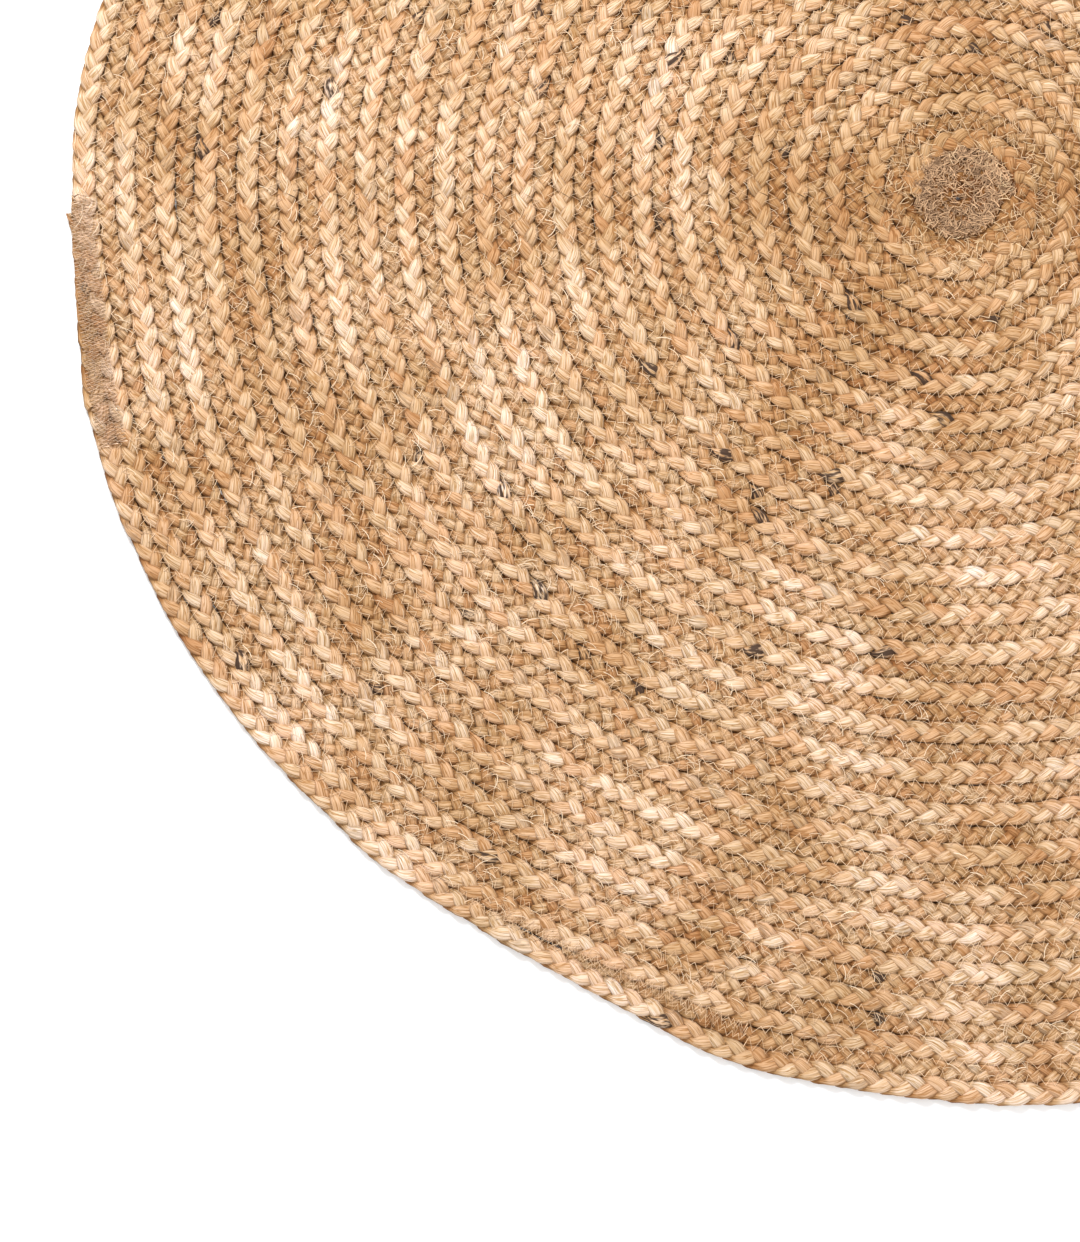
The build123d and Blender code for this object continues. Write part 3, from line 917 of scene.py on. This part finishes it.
# %% Needle and bobbin threads
needle_step, bobbin_step = 0.0045, 0.011
seams = {
    "thick_edge": (thick_start_radius + row_pitch / 2 + 0.0005, 0.0, TAU * (turn_count - 1),
        0.0014),
    "fine_edge": (fine_start_radius + row_pitch / 2 - 0.0005, math.pi, closing_start - math.pi,
        -0.0014),
}
for seed, (edge, (radius, start, span, aside)) in enumerate(seams.items()):
    length = stretch_length(radius, start, span)
    shared = {"Start Radius": radius, "Start Winding": start, "Span": span, "Material": thread_jute}
    needle = {"Points": int(length / needle_step), "Reach": 0.0040, "Offset": aside,
        "Height": 0.0093,
              "Thread Radius": 0.00042, "Jitter": 1.0, "Seed": 41 + seed}
    bobbin = {"Points": int(length / bobbin_step), "Reach": 0.0008, "Height": 0.0012,
        "Thread Radius": 0.0004,
              "Jitter": 0.4, "Seed": 51 + seed}
    for kind, values in (("needle", needle), ("bobbin", bobbin)):
        name = f"{kind}_thread_{edge}"
        grow_piece(name, zigzag_on_spiral, {**shared, **values}, [name])
    print("seam along the", edge, "is", round(length, 1), "m long")

# %% [markdown]
# ## The sewn centre
# The first turns are too tight to lie flat, so they are pressed and sewn into a felted disc. A disc
# with a bumpy finish could stand for it, but light falls between real threads, so it is a small
# plaited coil under a mat of short pieces of thread.

# %% A small flat coil under a mat of thread
plait_piece(
    "center_coil", fine_plait, 0.0, 4.9 * TAU, "sewn_center", 15,
    **{"Start Radius": 0.0016, "Growth": 0.0110, "Lift": 0.0012, "Middle Height": 0.0040,
       "Strand Width": 0.0080, "Strand Thickness": 0.0042, "Swing": 0.0036, "Leaf Length": 0.0105,
       "Material": core_jute, "Points": 600},
)
mat = {
    "Start Radius": 0.0, "Growth": 0.0112, "Start Winding": 0.0, "Span": 3.5 * TAU, "Count": 1950,
    "Spread": 0.006, "Low": 0.0064, "High": 0.0088, "Length": 0.0072, "Fibre Radius": 0.00038,
    "Turned": 3.1, "Outward": 0.68, "Seed": 61, "Material": center_jute,
}
grow_piece("center_stitching", loose_fibres, mat, ["center_stitching"])
edge = {**mat, "Start Winding": 3.2 * TAU, "Span": 3.4 * TAU, "Count": 480, "Low": 0.0080,
    "High": 0.0100,
        "Length": 0.0078, "Fibre Radius": 0.00030, "Outward": 1.0, "Seed": 62,
        "Material": fuzz_jute}
grow_piece("center_fuzz", loose_fibres, edge, [])
print("threads and hairs over the centre", mat["Count"] + edge["Count"])

# %% [markdown]
# ## Fluff on the rows
# The fine plait is rougher and sheds more than the thick one. Fibres could be spread evenly over
# the rug, but they belong to the strands, so they are scattered along each plait.

# %% Loose fibres, thick on the fine plait and sparse on the thick one
fluff = {"Length": 0.0100, "Fibre Radius": 0.00027, "Material": fibre_jute}
fluff_spacing = 0.0056
middle = TAU * 14
halves = (("inner", math.pi, middle, 0.6), ("outer", middle, closing_start, 0.9))
for seed, (name, first, last, outward) in enumerate(halves):
    values = {"Start Radius": fine_start_radius, "Start Winding": first, "Span": last - first,
              "Spread": 0.0078, "Low": 0.0084, "High": 0.0101, "Turned": 1.3, "Seed": 71 + seed,
              "Outward": outward,
              "Count": int(stretch_length(fine_start_radius, first, last - first) / fluff_spacing),
              **fluff}
    grow_piece(f"loose_fibres_{name}", loose_fibres, values, [])
values = {"Start Radius": thick_start_radius, "Start Winding": 0.0, "Span": last_half_turn,
          "Spread": 0.0085, "Low": 0.0092, "High": 0.0108, "Turned": 0.6, "Outward": 0.55,
          "Seed": 75,
          "Count": 3300, **fluff}
grow_piece("loose_fibres_thick", loose_fibres, values, [])

# %% [markdown]
# ## Floor, light and camera
# A pale floor, a broad soft light from above and a little from one side, so that every leaf is
# bright on top and dark where it dips under the next. A small hard light would draw the plait more
# strongly, but would throw a sharp shadow beside the rug. The camera is high above the near edge.

# %% The floor
def floor_material():
    """Plain pale paper."""
    material = bpy.data.materials.new("pale_floor")
    material.use_nodes = True
    shader = material.node_tree.nodes["Principled BSDF"]
    shader.inputs["Base Color"].default_value = (0.93, 0.93, 0.93, 1)
    shader.inputs["Roughness"].default_value = 0.9
    return material


floor_mesh = bpy.data.meshes.new("floor")
half = 6.0
corners = [(-half, -half, 0), (half, -half, 0), (half, half, 0), (-half, half, 0)]
floor_mesh.from_pydata(corners, [], [(0, 1, 2, 3)])
floor_mesh.materials.append(floor_material())
floor = bpy.data.objects.new("floor", floor_mesh)
bpy.context.scene.collection.objects.link(floor)


# %% The lights
def area_light(name, place, target, size, power):
    """A square soft light that points at a target."""
    data = bpy.data.lights.new(name, "AREA")
    data.shape = "SQUARE"
    data.size = size
    data.energy = power
    light = bpy.data.objects.new(name, data)
    light.location = place
    light.rotation_euler = (Vector(target) - Vector(place)).to_track_quat("-Z", "Y").to_euler()
    bpy.context.scene.collection.objects.link(light)


area_light("key_light", (-1.6, 1.4, 2.6), (0, 0, 0), 1.2, 137)
area_light("fill_light", (1.8, -2.2, 2.8), (0, 0, 0), 2.6, 57)
world = bpy.data.worlds.new("studio")
world.use_nodes = True
world.node_tree.nodes["Background"].inputs["Color"].default_value = (1, 1, 1, 1)
world.node_tree.nodes["Background"].inputs["Strength"].default_value = 0.77
bpy.context.scene.world = world
bpy.context.scene.view_settings.view_transform = "Standard"
print("lights", [light.name for light in bpy.data.lights])

# %% The camera
camera_rise = math.radians(74)
camera_distance = 3.726
aim = Vector((-0.1952, -0.4722, 0.0))
camera_roll = math.radians(2.54)
place = Vector((0, -camera_distance * math.cos(camera_rise),
    camera_distance * math.sin(camera_rise)))
camera_data = bpy.data.cameras.new("camera")
camera_data.sensor_fit = "VERTICAL"
camera_data.sensor_height = 24
camera_data.lens = 84.0
camera = bpy.data.objects.new("camera", camera_data)
look = (aim - place).to_track_quat("-Z", "Y").to_matrix().to_4x4()
camera.matrix_world = Matrix.Translation(place) @ look @ Matrix.Rotation(camera_roll, 4, "Z")
bpy.context.scene.collection.objects.link(camera)
bpy.context.scene.camera = camera
print("the camera looks down at", round(math.degrees(camera_rise)), "degrees")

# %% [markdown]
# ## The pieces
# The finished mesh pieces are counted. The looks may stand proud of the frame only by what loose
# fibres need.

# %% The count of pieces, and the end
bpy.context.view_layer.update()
shown = [piece for piece in bpy.data.objects if piece.get("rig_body") and piece.type == "MESH"]
print("pieces", len(shown))
